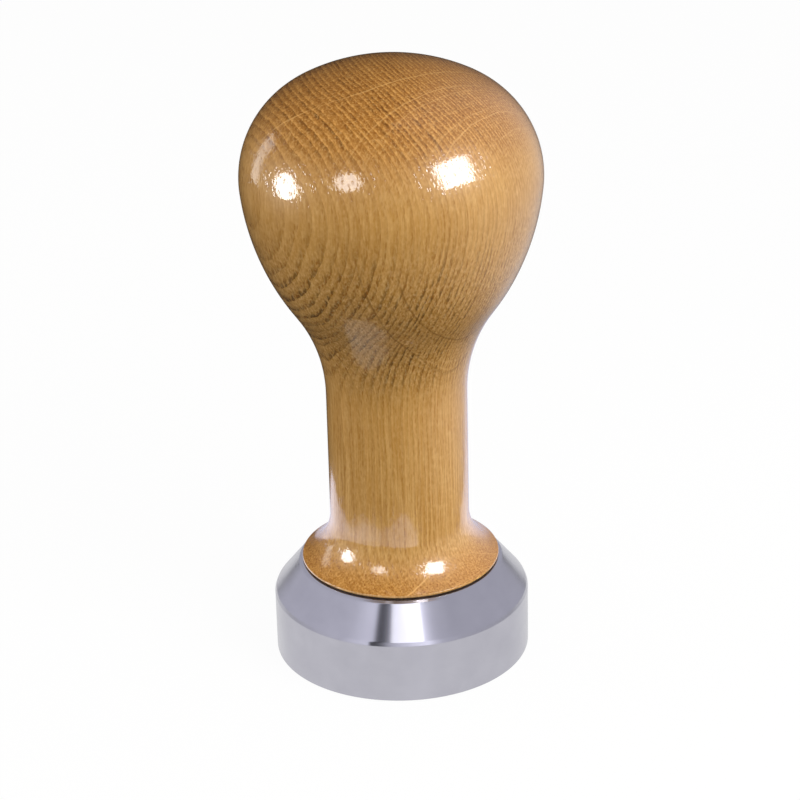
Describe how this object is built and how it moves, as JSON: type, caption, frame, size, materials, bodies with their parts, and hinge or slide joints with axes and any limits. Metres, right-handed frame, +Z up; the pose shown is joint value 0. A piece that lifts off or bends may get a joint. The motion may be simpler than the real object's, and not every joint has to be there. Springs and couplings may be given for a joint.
{
  "type": "espresso tamper",
  "caption": "Hand tamper for ground coffee: a turned oak handle with a round head and waisted neck screws onto a flat, chamfered round steel base.",
  "frame": {"origin": "centre of the tamping face, on the turning axis, where the base stands", "axes": "+Z up the turning axis from the tamping face to the crown of the handle; X and Y are any pair square to it, because the object is round"},
  "size_m": [0.0554, 0.0554, 0.1175],
  "materials": {
    "steel_base": "fine-turned and polished stainless steel",
    "steel_stud": "bright zinc-plated screw thread",
    "brass_insert": "plain turned brass",
    "oak_handle": "turned oak under clear gloss lacquer"
  },
  "bodies": {
    "base": {"base": "steel_base", "stud": "steel_stud"},
    "insert": {"insert": "brass_insert"},
    "handle": {"handle": "oak_handle"}
  },
  "joints": [
    {"name": "handle_lift", "type": "slide", "parent": "base", "child": "insert", "axis": [0, 0, 1], "range_m": [0, 0.0126]},
    {"name": "handle_turn", "type": "hinge", "parent": "insert", "child": "handle", "pos_m": [0, 0, 0], "axis": [0, 0, 1], "range_deg": [0, 3600]}
  ],
  "couplings": [
    {"joint": "handle_lift", "follows": "handle_turn", "m_per_rad": 0.00019894}
  ]
}
